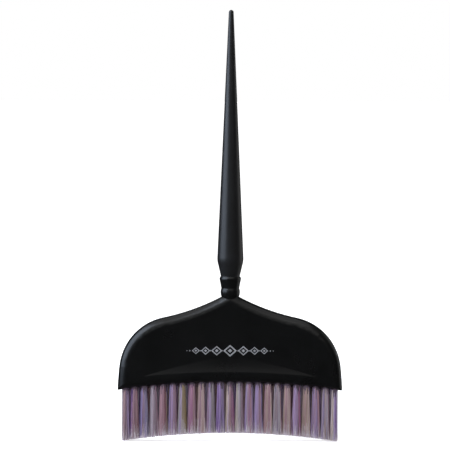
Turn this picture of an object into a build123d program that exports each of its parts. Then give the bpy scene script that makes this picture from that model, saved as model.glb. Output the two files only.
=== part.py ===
from build123d import *

import math
import os

# Wide tint brush: a dished head with two staggered rows of bristle tufts, and a
# round handle that tapers to a rat tail.
#
# Frame: +Z runs up the handle and -Y is the front.  The origin lies under the middle
# of the brush, at the level of its lowest bristle tips.  All sizes are millimetres.

# ---------------------------------------------------------------- driving dimensions
overall_height = 240.0

# Bristle field
front_tufts = 23
rear_tufts = 22
row_half_length = 58.4          # middle of the brush to the outermost front tuft
row_spacing = 4.4               # front row to rear row
bristle_length = 28.15          # free length at the middle
tip_arch_radius = 400.0         # the trimmed tips follow this arch
tuft_tip_radius = 2.45          # tufts splay a little toward their tips
tuft_overrun = 1.0              # a tuft is trimmed from a cone this much longer

# Tuft holes and anchors
hole_radius = 1.9
hole_depth = 7.0                # straight wall, below the drill point
drill_point_angle = 118.0
hole_clearance = 0.05           # between a tuft and its hole
anchor_width = 4.15             # a little more than the hole, so that the ends bite
anchor_height = 1.6
anchor_thickness = 0.35
anchor_turn = 25.0              # degrees from the line of the row
anchor_clearance = 0.02
fold_thickness = 1.4            # filaments folded over the anchor
fold_round = 1.0

# Head
head_thickness = 12.0
head_half_width = 62.65
base_arch_radius = 450.0        # the lower edge is a shallow arch
side_lean = 1.9                 # degrees from vertical where the side starts
side_radius = 170.0
side_turn = 4.6
shoulder_radius = 31.1
shoulder_turn = 71.4
slope_radius = 126.0
slope_turn = 15.6
edge_round = 4.6
lower_edge_round = 0.5

# Flat strip, cove and dish of each broad face
strip_height = 6.3
cove_height = 11.0
cove_overlap = 0.1              # the cove runs a little deeper than the dish, to cross it cleanly
dish_depth = 1.2
dish_half_width = 48.0
dish_margin = 2.0               # how far the cutter stands out of the face

# Neck of the head
collar_height = 11.3            # from the shoulders of the head to the top of the lip
collar_root_radius = 4.8
bead_radius = 5.4
bead_height = 2.8
waist_radius = 5.0
waist_height = 4.9
lip_radius = 6.0
lip_round = 1.2
lip_rim = 0.15                  # flat rim round the seat
lip_break = 0.1                 # broken edge inside the rim
lip_depth = 1.2                 # depth of the handle's seat inside the lip
seat_radius = 5.4
root_radius = 3.4               # the collar fades into the broad faces below the shoulders
root_drop = 6.5

# Handle
spigot_radius = 2.6
spigot_length = 13.0
spigot_chamfer = 0.6
spigot_clearance = 0.05
spigot_end_gap = 0.2
seat_clearance = 0.06
foot_height = 1.8               # straight foot, just proud of the lip
belly_radius = 7.34
belly_height = 10.3             # above the seat
belly_round = 10.0
tail_tip_radius = 1.35

# ------------------------------------------------------------------- derived places
def arch_drop(radius, x):
    """How far an arch of this radius has fallen at a distance x from its crown."""
    return radius - math.sqrt(radius**2 - x**2)


pitch = 2 * row_half_length / (front_tufts - 1)
tip_crown_z = arch_drop(tip_arch_radius, row_half_length + tuft_tip_radius)
base_z = tip_crown_z + bristle_length
base_arch_centre_z = base_z - base_arch_radius
half_thickness = head_thickness / 2
tuft_radius = hole_radius - hole_clearance

os.makedirs("parts", exist_ok=True)


def row_positions(count):
    return [(i - (count - 1) / 2) * pitch for i in range(count)]


rows = {
    "front": [(x, -row_spacing / 2) for x in row_positions(front_tufts)],
    "rear": [(x, row_spacing / 2) for x in row_positions(rear_tufts)],
}
hole_places = rows["front"] + rows["rear"]


def mouth_z(x):
    """Height of the head's arched underside at x."""
    return base_z - arch_drop(base_arch_radius, x)


def anchor_top_z(x):
    return mouth_z(x) + hole_depth - fold_thickness


def save(piece, name):
    piece.part.label = name
    export_step(piece.part, f"parts/{name}.step")


# -------------------------------------------------------------------- head: the back
with BuildPart() as head:
    with BuildSketch(Plane.XZ) as outline:
        with BuildLine():
            base_half_angle = math.degrees(math.asin(head_half_width / base_arch_radius))
            base = JernArc((0, base_z), (1, 0), base_arch_radius, -base_half_angle)
            lean = math.radians(side_lean)
            start_direction = (-math.sin(lean), math.cos(lean))
            side = JernArc(base @ 1, start_direction, side_radius, side_turn)
            shoulder = JernArc(side @ 1, side % 1, shoulder_radius, shoulder_turn)
            slope = JernArc(shoulder @ 1, shoulder % 1, slope_radius, -slope_turn)
            # The two slopes run on into the collar and meet inside it.
            peak_rise = (slope @ 1).X * abs((slope % 1).Y / (slope % 1).X)
            peak = Line(slope @ 1, (0, (slope @ 1).Y + peak_rise))
            Line(peak @ 1, base @ 0)
        make_face()
        mirror(about=Plane.YZ)
    extrude(amount=half_thickness, both=True)


shoulder_top = slope @ 1
neck_z = shoulder_top.Y
lip_z = neck_z + collar_height
seat_z = lip_z - lip_depth

# ----------------------------------------------------------- head: dishes and coves
# Each broad face is hollowed by a shallow dish.  A cove, parallel to the arched lower
# edge, leads from the flat strip into it.
with BuildPart() as dishes:
    with BuildSketch(Plane.XY.offset(base_z)):
        with BuildLine():
            left_rim = (-dish_half_width, -half_thickness)
            right_rim = (dish_half_width, -half_thickness)
            ThreePointArc(left_rim, (0, -half_thickness + dish_depth), right_rim)
            Polyline(
                right_rim,
                (dish_half_width, -half_thickness - dish_margin),
                (-dish_half_width, -half_thickness - dish_margin),
                left_rim,
            )
        make_face()
    extrude(amount=lip_z - base_z)
    arch_axis = Axis((0, 0, base_arch_centre_z), (0, 1, 0))
    with BuildSketch(Plane.YZ):
        with BuildLine():
            strip_top_z = base_z + strip_height
            outer_y = -half_thickness - 2 * dish_margin
            cove_top = (-half_thickness + dish_depth + cove_overlap, strip_top_z + cove_height)
            cove = TangentArc(cove_top, (-half_thickness, strip_top_z), tangent=(0, -1))
            Polyline(
                cove @ 1,
                (outer_y, strip_top_z),
                (outer_y, strip_top_z - 2 * strip_height),
                (cove_top[0], strip_top_z - 2 * strip_height),
                cove_top,
            )
        make_face()
    revolve(axis=arch_axis, mode=Mode.SUBTRACT)
    mirror(about=Plane.XZ)

with head:
    add(dishes.part, mode=Mode.SUBTRACT)
    # The outline is rounded on both faces, then the edge all round the underside.
    walls = head.faces().filter_by(lambda f: abs(f.normal_at().Y) < 0.01)
    side_walls = walls.filter_by(lambda f: f.center().Z > base_z)
    rim = side_walls.edges().filter_by(lambda e: abs(e.center().Y) > 1 and e.center().Z > base_z)
    fillet(rim, edge_round)
    underside = head.faces().filter_by(lambda f: f.normal_at().Z < -0.99).sort_by(SortBy.AREA)[-1]
    fillet(underside.edges(), lower_edge_round)

# ------------------------------------------------------------ head: neck and sockets
hole_point_height = hole_radius / math.tan(math.radians(drill_point_angle / 2))

with BuildPart() as drill:
    with BuildSketch(Plane.XZ):
        with BuildLine():
            Polyline(
                (0, -hole_radius),
                (hole_radius, -hole_radius),
                (hole_radius, hole_depth),
                (0, hole_depth + hole_point_height),
                close=True,
            )
        make_face()
    revolve(axis=Axis.Z)

with head:
    with BuildSketch(Plane.XZ):
        with BuildLine():
            Polyline((0, seat_z), (0, neck_z - root_drop), (root_radius, neck_z - root_drop))
            Line((root_radius, neck_z - root_drop), (collar_root_radius, neck_z))
            bead = ThreePointArc(
                (collar_root_radius, neck_z),
                (bead_radius, neck_z + bead_height),
                (waist_radius, neck_z + waist_height),
            )
            flare = Line(bead @ 1, (lip_radius, lip_z - lip_round))
            rim_edge = (seat_radius + lip_rim, lip_z)
            TangentArc(flare @ 1, rim_edge, tangent=(0, 1))
            Polyline(
                rim_edge,
                (seat_radius + lip_break, lip_z),
                (seat_radius, lip_z - lip_break),
                (seat_radius, seat_z),
                (0, seat_z),
            )
        make_face()
    revolve(axis=Axis.Z)
    with Locations((0, 0, seat_z)):
        Hole(spigot_radius + spigot_clearance, spigot_length + spigot_end_gap)
    with Locations(*[(x, y, mouth_z(x)) for x, y in hole_places]):
        add(drill.part, mode=Mode.SUBTRACT)
    notch_places = [(x, y, anchor_top_z(x) - anchor_height / 2) for x, y in hole_places]
    with Locations(*[Location(place, (0, 0, anchor_turn)) for place in notch_places]):
        Box(
            anchor_width + 2 * anchor_clearance,
            anchor_thickness + 2 * anchor_clearance,
            anchor_height + 2 * anchor_clearance,
            mode=Mode.SUBTRACT,
        )
save(head, "head")

# ---------------------------------------------------------------------------- handle
with BuildPart() as handle:
    with BuildSketch(Plane.XZ):
        with BuildLine():
            foot_radius = seat_radius - seat_clearance
            spigot_end_z = seat_z - spigot_length
            tip_centre_z = overall_height - tail_tip_radius
            belly_z = seat_z + belly_height
            taper = math.atan2(belly_radius - tail_tip_radius, tip_centre_z - belly_z)
            shaft_end = (
                tail_tip_radius * math.cos(taper),
                tip_centre_z + tail_tip_radius * math.sin(taper),
            )
            Polyline(
                (0, spigot_end_z),
                (spigot_radius - spigot_chamfer, spigot_end_z),
                (spigot_radius, spigot_end_z + spigot_chamfer),
                (spigot_radius, seat_z),
                (foot_radius, seat_z),
                (foot_radius, seat_z + foot_height),
            )
            shaft = FilletPolyline(
                (foot_radius, seat_z + foot_height),
                (belly_radius, belly_z),
                shaft_end,
                radius=belly_round,
            )
            crown = tail_tip_radius / math.sqrt(2)
            tip = ThreePointArc(shaft @ 1, (crown, tip_centre_z + crown), (0, overall_height))
            Line(tip @ 1, (0, spigot_end_z))
        make_face()
    revolve(axis=Axis.Z)
save(handle, "handle")

# --------------------------------------------------------------- tufts and anchors
splay = (tuft_tip_radius - tuft_radius) / bristle_length


def make_tuft(x, y):
    """One bundle of filaments, folded over its anchor and trimmed to the arch of the tips."""
    mouth = mouth_z(x)
    cone_length = mouth + tuft_overrun
    with BuildPart() as tuft:
        with BuildSketch(Plane((x, y, mouth), x_dir=(1, 0, 0), z_dir=(0, -1, 0))):
            with BuildLine():
                Polyline(
                    (0, hole_depth),
                    (tuft_radius - fold_round, hole_depth),
                    (tuft_radius, hole_depth - fold_round),
                    (tuft_radius, 0),
                    (tuft_radius + cone_length * splay, -cone_length),
                    (0, -cone_length),
                    close=True,
                )
            make_face()
        revolve(axis=Axis((x, y, 0), (0, 0, 1)))
        with Locations(Location((x, y, anchor_top_z(x) - anchor_height / 2), (0, 0, anchor_turn))):
            Box(
                2 * hole_radius,
                anchor_thickness + 2 * anchor_clearance,
                anchor_height + 2 * anchor_clearance,
                mode=Mode.SUBTRACT,
            )
        with Locations((0, y, tip_crown_z - tip_arch_radius)):
            Cylinder(tip_arch_radius, 4 * hole_radius, rotation=(90, 0, 0), mode=Mode.SUBTRACT)
    return tuft


for row, places in rows.items():
    for number, (x, y) in enumerate(places, start=1):
        save(make_tuft(x, y), f"tuft_{row}_{number:02d}")

    with BuildPart() as anchors:
        centres = [(x, y, anchor_top_z(x) - anchor_height / 2) for x, y in places]
        with Locations(*[Location(centre, (0, 0, anchor_turn)) for centre in centres]):
            Box(anchor_width, anchor_thickness, anchor_height)
    save(anchors, f"anchors_{row}")
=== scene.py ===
import math
import random

import bmesh
import bpy
from mathutils import Euler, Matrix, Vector


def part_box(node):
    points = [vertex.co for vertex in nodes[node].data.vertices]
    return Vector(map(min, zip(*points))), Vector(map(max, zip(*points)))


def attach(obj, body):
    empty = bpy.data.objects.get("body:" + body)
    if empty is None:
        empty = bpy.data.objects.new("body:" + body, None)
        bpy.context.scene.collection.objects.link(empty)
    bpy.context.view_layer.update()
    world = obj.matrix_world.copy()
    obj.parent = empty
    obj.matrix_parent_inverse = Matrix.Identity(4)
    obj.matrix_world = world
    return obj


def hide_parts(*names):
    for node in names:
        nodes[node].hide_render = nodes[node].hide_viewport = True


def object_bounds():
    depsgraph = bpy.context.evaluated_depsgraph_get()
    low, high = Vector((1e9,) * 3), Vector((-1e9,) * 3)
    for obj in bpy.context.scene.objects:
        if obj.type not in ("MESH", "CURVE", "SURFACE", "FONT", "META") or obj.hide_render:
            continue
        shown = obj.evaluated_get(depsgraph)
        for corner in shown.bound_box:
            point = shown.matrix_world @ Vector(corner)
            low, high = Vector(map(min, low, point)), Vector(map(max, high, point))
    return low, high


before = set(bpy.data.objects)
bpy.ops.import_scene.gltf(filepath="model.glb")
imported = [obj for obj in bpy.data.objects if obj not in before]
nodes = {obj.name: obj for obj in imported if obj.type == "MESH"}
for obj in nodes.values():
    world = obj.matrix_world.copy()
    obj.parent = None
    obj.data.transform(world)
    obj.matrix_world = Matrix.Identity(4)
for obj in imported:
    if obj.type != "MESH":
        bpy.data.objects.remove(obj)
cad_low, cad_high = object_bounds()

MM = 0.001

# Sizes of the frame that its boxes don't give, in metres.
HOLE_DEPTH = 7.0 * MM           # straight wall of a tuft hole
TIP_ARCH_RADIUS = 400.0 * MM    # arch that the row of tips is trimmed to
FRONT_TUFTS = sorted(n for n in nodes if n.startswith("tuft_front"))
REAR_TUFTS = sorted(n for n in nodes if n.startswith("tuft_rear"))


# ------------------------------------------------------------------------ materials
def srgb(hexcode):
    """Linear colour, with alpha, of a hex code such as "a58fb0"."""
    channels = [int(hexcode[i:i + 2], 16) / 255 for i in (0, 2, 4)]
    linear = [c / 12.92 if c <= 0.04045 else ((c + 0.055) / 1.055) ** 2.4 for c in channels]
    return (*linear, 1.0)


class Shader:
    """A small helper to build a Principled material from nodes."""

    def __init__(self, name, **values):
        self.material = bpy.data.materials.new(name)
        self.material.use_nodes = True
        self.tree = self.material.node_tree
        self.bsdf = self.tree.nodes["Principled BSDF"]
        for socket, value in values.items():
            self.bsdf.inputs[socket.replace("_", " ")].default_value = value

    def node(self, kind, **inputs):
        made = self.tree.nodes.new(kind)
        for socket, value in inputs.items():
            made.inputs[socket.replace("_", " ")].default_value = value
        return made

    def link(self, output, target):
        self.tree.links.new(output, target)

    def coordinates(self, stretch=(1, 1, 1)):
        """Object coordinates, scaled by stretch."""
        where = self.node("ShaderNodeTexCoord")
        mapping = self.node("ShaderNodeMapping", Scale=stretch)
        self.link(where.outputs["Object"], mapping.inputs["Vector"])
        return mapping.outputs["Vector"]

    def noise(self, scale, detail=2.0, roughness=0.5, stretch=(1, 1, 1)):
        made = self.node("ShaderNodeTexNoise", Scale=scale, Detail=detail, Roughness=roughness)
        self.link(self.coordinates(stretch), made.inputs["Vector"])
        return made.outputs["Fac"]

    def ranged(self, value, low, high, from_low=0.3, from_high=0.7):
        """Maps a 0 to 1 pattern to the range low to high."""
        made = self.tree.nodes.new("ShaderNodeMapRange")
        made.inputs["From Min"].default_value = from_low
        made.inputs["From Max"].default_value = from_high
        made.inputs["To Min"].default_value = low
        made.inputs["To Max"].default_value = high
        self.link(value, made.inputs["Value"])
        return made.outputs["Result"]

    def mix_colour(self, factor, first, second):
        made = self.tree.nodes.new("ShaderNodeMix")
        made.data_type = "RGBA"
        made.inputs["A"].default_value = first
        made.inputs["B"].default_value = second
        self.link(factor, made.inputs["Factor"])
        return made.outputs["Result"]

    def bump(self, *layers):
        """Stacks (height, distance in metres, strength) layers into the normal."""
        last = None
        for height, distance, strength in layers:
            made = self.node("ShaderNodeBump", Strength=strength, Distance=distance)
            self.link(height, made.inputs["Height"])
            if last:
                self.link(last, made.inputs["Normal"])
            last = made.outputs["Normal"]
        self.link(last, self.bsdf.inputs["Normal"])


def moulded_black(name, base, lighter, rough_low, rough_high, specular):
    """Satin black moulding: spark-eroded grain, slow waviness of the skin and faint handling marks."""
    s = Shader(name, IOR=1.46, Specular_IOR_Level=specular)
    clouds = s.noise(60.0, detail=3.0)
    s.link(s.mix_colour(s.ranged(clouds, 0, 1), srgb(base), srgb(lighter)), s.bsdf.inputs["Base Color"])
    handling = s.noise(35.0, detail=4.0, roughness=0.6)
    s.link(s.ranged(handling, rough_low, rough_high), s.bsdf.inputs["Roughness"])
    s.bump(
        (s.noise(160.0, detail=1.0), 0.25 * MM, 0.12),
        (s.noise(3800.0, detail=2.0), 0.02 * MM, 0.35),
    )
    return s.material


def filament(name, colour, roughness):
    """One colour of drawn bristle filament, with fine streaks along its length."""
    s = Shader("filament_" + name, Base_Color=colour, IOR=1.5, Specular_IOR_Level=0.5)
    streaks = s.noise(2500.0, detail=2.0, stretch=(1, 1, 0.05))
    s.link(s.ranged(streaks, roughness - 0.08, roughness + 0.1), s.bsdf.inputs["Roughness"])
    return s.material


def silver_print():
    """Metallic pad print: fine flakes and slightly uneven ink."""
    s = Shader("silver_print", Metallic=0.85)
    ink = s.noise(900.0, detail=4.0, roughness=0.7)
    s.link(s.mix_colour(s.ranged(ink, 0, 1), srgb("b9bbc0"), srgb("e6e7ea")), s.bsdf.inputs["Base Color"])
    s.link(s.ranged(ink, 0.5, 0.32), s.bsdf.inputs["Roughness"])
    s.bump((s.noise(2600.0, detail=2.0), 0.01 * MM, 0.4))
    return s.material


def drawn_wire():
    """Bright flat wire, drawn lengthwise."""
    s = Shader("drawn_wire", Metallic=1.0)
    draw = s.noise(4000.0, detail=2.0, stretch=(0.05, 1, 1))
    s.link(s.mix_colour(s.ranged(draw, 0, 1), srgb("b4b2aa"), srgb("d2d0c8")), s.bsdf.inputs["Base Color"])
    s.link(s.ranged(draw, 0.25, 0.42), s.bsdf.inputs["Roughness"])
    return s.material


# Colour and roughness of each filament, of the painted shade at its root, where the head shades it, and of
# its paler tip, which is partly its thinner end and partly painted light from the bright floor below.
FILAMENT_COLOURS = {
    "cream": ("a8968e", 0.38),
    "beige": ("8f7973", 0.40),
    "rose": ("94727c", 0.38),
    "mauve": ("806573", 0.40),
    "magenta": ("865978", 0.38),
    "lilac": ("8b779a", 0.36),
    "lavender": ("776a91", 0.38),
    "purple": ("6a4c84", 0.38),
    "plum": ("5c3a4f", 0.42),
    "wine": ("623e47", 0.42),
    "silver": ("988e98", 0.34),
    "steel": ("71687e", 0.38),
    "sage": ("86807c", 0.38),
    "olive": ("7d6c52", 0.40),
    "grey": ("7a6d77", 0.40),
}
ROOT_AND_TIP_COLOURS = {
    # Painted shade: darkens the filaments next to the head, where the head shades them.
    "painted_root_shade": ("463743", 0.45),
    # Paler tip: partly the thinner end of the filament, partly painted light from the bright floor below.
    "tip": ("b8aeb5", 0.45),
}

# The mix of filaments in each tuft, from its left side to its right side.
FRONT_MIXES = [
    "grey beige mauve grey lilac",
    "purple rose mauve beige wine",
    "lavender mauve lavender lilac steel",
    "grey silver mauve grey mauve",
    "rose mauve rose wine beige",
    "lavender mauve lilac mauve mauve",
    "sage lilac silver beige olive",
    "mauve magenta rose beige mauve",
    "beige mauve rose cream mauve",
    "mauve lilac lilac sage grey",
    "purple lilac purple lilac steel",
    "cream lilac beige mauve magenta",
    "sage cream silver grey mauve",
    "lilac silver magenta rose lilac",
    "lilac lilac mauve rose lavender",
    "rose beige mauve rose cream",
    "silver steel beige silver rose",
    "beige rose cream mauve beige",
    "lilac rose lilac mauve magenta",
    "beige rose beige cream mauve",
    "lilac mauve lilac lavender rose",
    "grey lavender beige silver mauve",
    "cream silver lilac purple silver",
]
REAR_MIX_CHOICES = [
    "rose lilac mauve cream",
    "lavender silver purple lilac",
    "beige wine rose cream",
    "mauve silver lilac cream",
    "lilac lavender olive rose",
]


def halfway(first, second):
    """The colour midway between two linear colours."""
    return tuple((a + b) / 2 for a, b in zip(first, second))


filaments = {}
for name, (code, roughness) in ROOT_AND_TIP_COLOURS.items():
    filaments[name] = filament(name, srgb(code), roughness)
tip_colour = srgb(ROOT_AND_TIP_COLOURS["tip"][0])
for name, (code, roughness) in FILAMENT_COLOURS.items():
    filaments[name] = filament(name, srgb(code), roughness)
    # Paler copies for the tips: partly the thinner end, partly painted light from the bright floor below.
    filaments["pale " + name] = filament("pale_" + name, halfway(srgb(code), tip_colour), roughness)


# -------------------------------------------------------------------- bristle tufts
FILAMENTS_PER_TUFT = 150
FILAMENT_SIDES = 5
FILAMENT_RADIUS = 0.12 * MM
TUFT_ROOT_RADIUS = 1.74 * MM    # just inside the mouth of the hole
TUFT_SPLAY = (2.95 * MM, 2.6 * MM)  # radii along and across the row, where the tips close up
SPLAY_AT_ROOT = 0.55            # how steeply a filament leaves the hole, against a straight one
LOCKS = 9                       # filaments gather in small locks toward the tips
LOCK_SPREAD, LOCK_PULL = 0.9, 0.2   # where the locks stand in the tuft, and how far they draw in
TIP_SCATTER = 0.07              # of each tip about its place in the tuft, as a share of the splay
BOW_SCATTER = 0.08 * MM         # sideways bow of a filament
TRIM_SCATTER = 0.08 * MM        # unevenness of the trimmed tips
THICKNESS_RANGE = (0.85, 1.1)   # of the filaments, as shares of their usual radius
CORNER_ROUND = 2.2 * MM         # worn corner at each end of the row of tips
END_SPLAY_SHARE = 0.6           # the outermost tufts hardly splay outward
COLOUR_DRIFT = 0.75             # colours stray this many places along their mix
GOLDEN_ANGLE = math.pi * (3 - math.sqrt(5))

# Along a filament, as shares of its free length from the hole's mouth to the tip.
BURIED = -0.09                  # where it starts, inside the hole
PAINTED_SHADE_MEAN, PAINTED_SHADE_MOST = 0.065, 0.4     # painted shade under the head darkens it this far
# The paler tip is partly the thinner end and partly painted light from the bright floor below.
PALE_MOST, PALE_GATHER = 0.32, 1.65     # it pales over at most this much, mostly near the tip
STRAIGHT_TO = 0.5                       # it is full thickness to here, then tapers
TAPER = (0.9, 0.8, 0.6)                 # thickness where it starts to pale, is palest and ends

middle_tuft = FRONT_TUFTS[len(FRONT_TUFTS) // 2]
tip_crown_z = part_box(middle_tuft)[0].z
row_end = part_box(FRONT_TUFTS[-1])[1].x


def tip_height(x):
    """Height of the trimmed tips at x: an arch, rounded off at both ends."""
    arch = tip_crown_z - TIP_ARCH_RADIUS + math.sqrt(TIP_ARCH_RADIUS**2 - x**2)
    beyond = min(max(abs(x) - row_end + CORNER_ROUND, 0.0), CORNER_ROUND)
    return arch + CORNER_ROUND - math.sqrt(CORNER_ROUND**2 - beyond**2)


def disc_point(index, count, radius):
    """A point of an even sunflower spread over a disc."""
    distance = radius * math.sqrt((index + 0.5) / count)
    angle = index * GOLDEN_ANGLE
    return Vector((distance * math.cos(angle), distance * math.sin(angle)))


def add_filament(mesh, root, tip, mouth_z, tip_z, bow, radius, finishes, rng):
    """One tapered filament from its hole, where painted shade under the head darkens it, to its trimmed,
    paler tip, which is partly its thinner end and partly painted light from the floor below.

    finishes gives the material index of each stretch by its name.
    """
    # Painted shade: the stretch next to the head, where shade falls, is darkened.
    painted_shade_to = min(rng.expovariate(1 / PAINTED_SHADE_MEAN), PAINTED_SHADE_MOST)
    # Partly painted light: the filament pales toward its tip, where the floor lights it from below.
    pale_from = 1 - PALE_MOST * rng.random() ** PALE_GATHER
    palest_from = (1 + pale_from) / 2
    stations = [
        (BURIED, 1.0, "stained"),
        (painted_shade_to, 1.0, "stained"),
        (STRAIGHT_TO, 1.0, "own"),
        (pale_from, TAPER[0], "own"),
        (palest_from, TAPER[1], "pale"),
        (1.0, TAPER[2], "palest"),
    ]
    rings = []
    for along, thickness, finish in stations:
        beyond = max(along, 0.0)
        splay = beyond * (SPLAY_AT_ROOT + (1 - SPLAY_AT_ROOT) * beyond)
        centre = root.lerp(tip, splay) + bow * math.sin(math.pi * beyond)
        z = mouth_z + (tip_z - mouth_z) * along
        ring = []
        for side in range(FILAMENT_SIDES):
            angle = 2 * math.pi * side / FILAMENT_SIDES
            x = centre.x + radius * thickness * math.cos(angle)
            y = centre.y + radius * thickness * math.sin(angle)
            ring.append(mesh.verts.new((x, y, z)))
        rings.append((ring, finishes[finish]))
    for (upper, _), (lower, finish) in zip(rings, rings[1:]):
        for side in range(FILAMENT_SIDES):
            after = (side + 1) % FILAMENT_SIDES
            face = mesh.faces.new((upper[side], lower[side], lower[after], upper[after]))
            face.smooth = True
            face.material_index = finish
    mesh.faces.new(rings[0][0]).material_index = rings[0][1]
    mesh.faces.new(reversed(rings[-1][0])).material_index = rings[-1][1]


def build_tuft(node, mix, rng):
    """A bundle of separate filaments in the place of the node's solid."""
    low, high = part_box(node)
    middle = (low + high) / 2
    axis = Vector((middle.x, middle.y))
    mouth_z = high.z - HOLE_DEPTH
    colours = mix.split()
    count = len(colours)
    lock_centres = [disc_point(i, LOCKS, LOCK_SPREAD) for i in range(LOCKS)]
    at_row_end = node in (FRONT_TUFTS[0], FRONT_TUFTS[-1])

    mesh = bmesh.new()
    for index in range(FILAMENTS_PER_TUFT):
        place = disc_point(index, FILAMENTS_PER_TUFT, 1.0)
        lock = min(range(LOCKS), key=lambda i: (lock_centres[i] - place).length)
        spread = place.lerp(lock_centres[lock], LOCK_PULL)
        spread += Vector((rng.gauss(0, TIP_SCATTER), rng.gauss(0, TIP_SCATTER)))
        if spread.length > 1:
            spread.normalize()
        if at_row_end and spread.x * axis.x > 0:
            spread.x *= END_SPLAY_SHARE
        tip = axis + Vector((spread.x * TUFT_SPLAY[0], spread.y * TUFT_SPLAY[1]))
        bow = Vector((rng.gauss(0, BOW_SCATTER), rng.gauss(0, BOW_SCATTER)))
        wanted = (place.x + 1) / 2 * count + rng.gauss(0, COLOUR_DRIFT)
        own = min(max(int(wanted), 0), count - 1)
        # The root stretch takes the painted shade; the last stretches take the paler tip colours, which are
        # partly painted light.
        finishes = {"own": own, "pale": own + count, "stained": 2 * count, "palest": 2 * count + 1}
        add_filament(
            mesh,
            axis + place * (TUFT_ROOT_RADIUS - FILAMENT_RADIUS),
            tip,
            mouth_z,
            tip_height(tip.x) + abs(rng.gauss(0, TRIM_SCATTER)),
            bow,
            FILAMENT_RADIUS * rng.uniform(*THICKNESS_RANGE),
            finishes,
            rng,
        )
    data = bpy.data.meshes.new("bristles_" + node)
    mesh.to_mesh(data)
    mesh.free()
    # The last two slots are the painted shade at the root and the pale tip, which is partly painted light.
    for colour in colours + ["pale " + colour for colour in colours] + ["painted_root_shade", "tip"]:
        data.materials.append(filaments[colour])
    piece = bpy.data.objects.new("bristles_" + node, data)
    bpy.context.scene.collection.objects.link(piece)
    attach(piece, "root")
    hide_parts(node)


for number, node in enumerate(FRONT_TUFTS):
    build_tuft(node, FRONT_MIXES[number], random.Random(100 + number))
for number, node in enumerate(REAR_TUFTS):
    mix = REAR_MIX_CHOICES[number % len(REAR_MIX_CHOICES)]
    build_tuft(node, mix, random.Random(200 + number))


# ------------------------------------------------------------ materials of CAD nodes
def dress(node, material):
    """Gives every slot of a CAD node's object this material."""
    mesh = nodes[node].data
    if not mesh.materials:
        mesh.materials.append(material)
    for slot in nodes[node].material_slots:
        slot.material = material


dress("head", moulded_black("head_black", "060606", "090909", 0.26, 0.33, 0.36))
dress("handle", moulded_black("handle_black", "0d0d0e", "111112", 0.34, 0.42, 0.45))
wire = drawn_wire()
for node in ("anchors_front", "anchors_rear"):
    dress(node, wire)


# --------------------------------------------------------------- ornament on the face
ORNAMENT_Z = 50.9 * MM
ORNAMENT_THICKNESS = 0.04 * MM
ORNAMENT_SINK = 0.02 * MM       # how far it reaches into the face
RAY_START_Y = -50 * MM          # well in front of the head
# Centre and full width of each open diamond, and centre of each dot, to the right of the middle.
DIAMONDS = [(0.0, 7.6), (7.4, 6.2), (13.6, 5.2), (19.0, 4.4)]
DOTS = [(4.45, 0.9), (10.85, 0.8), (16.5, 0.7), (22.4, 0.9), (24.0, 0.6)]
# Half widths and half heights of a diamond's outline, its opening and its core, as shares of its half width.
DIAMOND_OUTLINE = (1.0, 0.87)
DIAMOND_OPENING = (0.7, 0.61)
DIAMOND_CORE = (0.34, 0.3)


def face_depth(x, z):
    """Y of the head's front face at this place."""
    _, place, _, _ = nodes["head"].ray_cast(Vector((x, RAY_START_Y, z)), Vector((0, 1, 0)))
    return place.y


def add_prism(mesh, outline, hole=None):
    """A thin raised shape on the front face, with an optional hole of as many points."""
    def wall(points):
        sunk, proud = [], []
        for x, z in points:
            depth = face_depth(x, z)
            sunk.append(mesh.verts.new((x, depth + ORNAMENT_SINK, z)))
            proud.append(mesh.verts.new((x, depth - ORNAMENT_THICKNESS, z)))
        return sunk, proud

    count = len(outline)
    outer = wall(outline)
    if hole is None:
        mesh.faces.new(reversed(outer[0]))
        mesh.faces.new(outer[1])
    else:
        inner = wall(hole)
    for i in range(count):
        j = (i + 1) % count
        mesh.faces.new((outer[0][i], outer[0][j], outer[1][j], outer[1][i]))
        if hole is not None:
            mesh.faces.new((inner[1][i], inner[1][j], inner[0][j], inner[0][i]))
            mesh.faces.new((outer[1][i], outer[1][j], inner[1][j], inner[1][i]))
            mesh.faces.new((inner[0][i], inner[0][j], outer[0][j], outer[0][i]))


def diamond(x, half, shape=(1.0, 1.0)):
    """Corners of a diamond centred at x on the ornament's line, half times shape wide and high."""
    wide, high = half * shape[0], half * shape[1]
    z = ORNAMENT_Z
    return [(x + wide, z), (x, z + high), (x - wide, z), (x, z - high)]


def build_ornament():
    mesh = bmesh.new()
    for x, width in DIAMONDS:
        for side in ((-1, 1) if x else (1,)):
            half = width / 2 * MM
            centre = side * x * MM
            outline = diamond(centre, half, DIAMOND_OUTLINE)
            add_prism(mesh, outline, diamond(centre, half, DIAMOND_OPENING))
            add_prism(mesh, diamond(centre, half, DIAMOND_CORE))
    for x, width in DOTS:
        for side in (-1, 1):
            half = width / 2 * MM
            add_prism(mesh, diamond(side * x * MM, half))
    bmesh.ops.recalc_face_normals(mesh, faces=mesh.faces)
    data = bpy.data.meshes.new("print_ornament")
    mesh.to_mesh(data)
    mesh.free()
    data.materials.append(silver_print())
    piece = bpy.data.objects.new("print_ornament", data)
    bpy.context.scene.collection.objects.link(piece)
    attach(piece, "root")


build_ornament()


# --------------------------------------------------------------------------- studio
def build_floor():
    """White paper, lit from below a little so that it meets the white room."""
    s = Shader("studio_floor", Specular_IOR_Level=0.2)
    s.bsdf.inputs["Emission Color"].default_value = (1, 1, 1, 1)
    s.bsdf.inputs["Emission Strength"].default_value = 0.55
    paper = s.noise(30.0, detail=3.0)
    s.link(s.mix_colour(s.ranged(paper, 0, 1), srgb("f1f1f0"), srgb("f5f5f5")), s.bsdf.inputs["Base Color"])
    s.link(s.ranged(paper, 0.85, 0.95), s.bsdf.inputs["Roughness"])
    bpy.ops.mesh.primitive_plane_add(size=40.0, location=(0, 0, cad_low.z))
    floor = bpy.context.object
    floor.name = "floor"
    floor.data.materials.append(s.material)
    floor.visible_glossy = False


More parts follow.
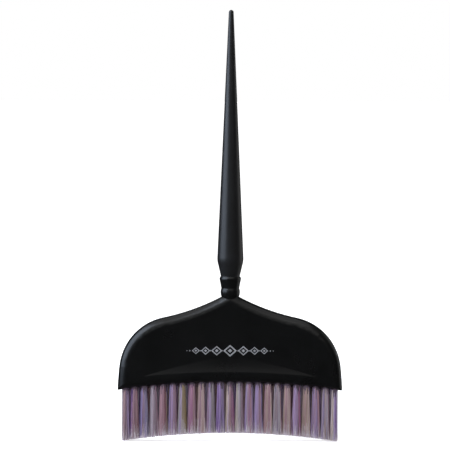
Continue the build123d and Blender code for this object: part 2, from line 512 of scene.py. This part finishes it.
def build_world():
    """White to the camera, a soft grey room as light, and a dark one in reflections."""
    world = bpy.data.worlds.new("studio")
    world.use_nodes = True
    tree = world.node_tree
    background = tree.nodes["Background"]
    background.inputs["Color"].default_value = (1.0, 1.0, 1.0, 1.0)
    path = tree.nodes.new("ShaderNodeLightPath")
    room = tree.nodes.new("ShaderNodeMapRange")
    room.inputs["To Min"].default_value = 0.42
    room.inputs["To Max"].default_value = 0.02
    tree.links.new(path.outputs["Is Glossy Ray"], room.inputs["Value"])
    seen = tree.nodes.new("ShaderNodeMath")
    seen.operation = "MAXIMUM"
    tree.links.new(path.outputs["Is Camera Ray"], seen.inputs[0])
    tree.links.new(room.outputs["Result"], seen.inputs[1])
    tree.links.new(seen.outputs[0], background.inputs["Strength"])
    bpy.context.scene.world = world


def softbox(name, azimuth, elevation, distance, width, height, radiance, colour):
    """A rectangular soft light, as bright as radiance whatever its size.

    Azimuth is in degrees from the front, positive to the right. It faces the middle of the brush.
    """
    light = bpy.data.lights.new(name, "AREA")
    light.shape = "RECTANGLE"
    light.size = width
    light.size_y = height
    light.energy = radiance * math.pi * width * height
    light.color = colour
    lamp = bpy.data.objects.new(name, light)
    around, up = math.radians(azimuth), math.radians(elevation)
    outward = Vector((math.sin(around) * math.cos(up), -math.cos(around) * math.cos(up), math.sin(up)))
    lamp.location = (cad_low + cad_high) / 2 + outward * distance
    lamp.rotation_mode = "QUATERNION"
    lamp.rotation_quaternion = (-outward).to_track_quat("-Z", "Y")
    bpy.context.scene.collection.objects.link(lamp)


def build_lights():
    softbox("key_left", -72, 27, 1.0, 1.14, 1.1, 5.0, (0.72, 0.83, 1.0))
    softbox("fill_right", 112, 5, 1.0, 0.7, 1.0, 0.8, (1.0, 1.0, 1.0))
    softbox("front_high", -8, 41, 1.5, 2.4, 1.35, 0.78, (1.0, 0.99, 0.97))
    sun = bpy.data.lights.new("overhead", "SUN")
    sun.energy = 1.2
    sun.angle = math.radians(80)
    lamp = bpy.data.objects.new("overhead", sun)
    lamp.rotation_euler = Euler((math.radians(6), math.radians(-8), 0))
    bpy.context.scene.collection.objects.link(lamp)


def build_camera():
    """A long lens, square on to the front face, as wide as the frame needs."""
    distance = 1.6
    frame_width = 250.3 * MM
    elevation = math.radians(3)
    roll = math.radians(0.2)
    target = Vector((-3.05 * MM, 0, 120.63 * MM))
    data = bpy.data.cameras.new("camera")
    data.sensor_width = 36.0
    data.lens = data.sensor_width * distance / frame_width
    camera = bpy.data.objects.new("camera", data)
    back = Vector((0, -math.cos(elevation), math.sin(elevation)))
    camera.location = target + back * distance
    camera.rotation_mode = "QUATERNION"
    aim = (-back).to_track_quat("-Z", "Y")
    camera.rotation_quaternion = aim @ Euler((0, 0, roll)).to_quaternion()
    bpy.context.scene.collection.objects.link(camera)
    bpy.context.scene.camera = camera


build_floor()
build_world()
build_lights()
build_camera()
bpy.context.scene.view_settings.view_transform = "Standard"
